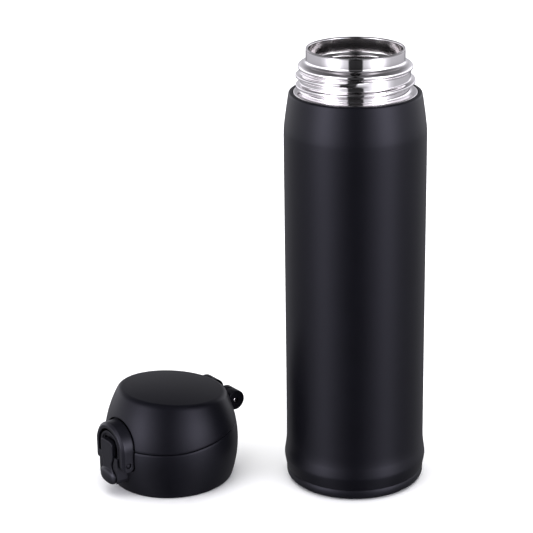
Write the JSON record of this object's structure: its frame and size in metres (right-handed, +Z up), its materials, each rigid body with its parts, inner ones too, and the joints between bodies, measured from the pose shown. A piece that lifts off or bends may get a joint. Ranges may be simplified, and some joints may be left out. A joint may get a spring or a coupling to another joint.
{
  "type": "vacuum flask",
  "caption": "Tall black vacuum flask standing open, its screw-on flip lid with hinged cover, push lever and lock ring standing beside it.",
  "frame": {"origin": "centre of the flask's base, on the surface it stands on", "axes": "+Z up along the flask's axis, -Y towards the viewer, and the lid stands at -X"},
  "size_m": [0.1608, 0.0692, 0.2146],
  "materials": {
    "painted_steel": "fine satin powder coat",
    "polished_steel": "polished stainless steel",
    "vessel_steel": "satin stainless steel",
    "spring_steel": "drawn stainless wire and strip",
    "braze": "dull solder",
    "getter_metal": "sintered, dull",
    "cap_plastic": "fine satin moulding",
    "lid_plastic": "soft satin moulding",
    "latch_plastic": "semi-gloss moulding",
    "spout_plastic": "semi-gloss moulding",
    "silicone": "translucent matt silicone",
    "pad_rubber": "matt non-slip rubber"
  },
  "bodies": {
    "flask": {"outer_shell": "painted_steel", "neck_ring": "polished_steel", "inner_vessel": "vessel_steel", "base_plate": "vessel_steel", "seal_bead": "braze", "getter": "getter_metal", "base_cap": "cap_plastic", "foot_pad": "pad_rubber"},
    "lid": {"collar_shell": "lid_plastic", "thread_insert": "lid_plastic", "spout": "spout_plastic", "neck_gasket": "silicone", "hinge_pin": "polished_steel", "hinge_spring": "spring_steel", "latch_housing": "latch_plastic", "lever_pin": "polished_steel", "lever_spring": "spring_steel"},
    "cover": {"cover_shell": "lid_plastic", "cover_liner": "lid_plastic", "cover_seal": "silicone", "cover_strike": "spring_steel"},
    "lever": {"release_lever": "latch_plastic"},
    "ring": {"lock_ring": "latch_plastic"}
  },
  "joints": [
    {"name": "lid_lift", "type": "slide", "parent": "flask", "child": "lid", "axis": [0, 0, 1], "range_m": [0, 0.25]},
    {"name": "cover_hinge", "type": "hinge", "parent": "lid", "child": "cover", "pos_m": [-0.06726, 0.01722, 0.0351], "axis": [-0.6293, 0.7771, 0], "range_deg": [0, 110]},
    {"name": "lever_press", "type": "hinge", "parent": "lid", "child": "lever", "pos_m": [-0.11754, -0.0235, 0.0181], "axis": [0.6293, -0.7771, 0], "range_deg": [0, 6], "stiffness_Nm_per_rad": 0.1, "springref_deg": -5.73},
    {"name": "lock_swing", "type": "hinge", "parent": "lid", "child": "ring", "pos_m": [-0.11583, -0.02212, 0.0175], "axis": [0.6293, -0.7771, 0], "range_deg": [0, 100]}
  ]
}
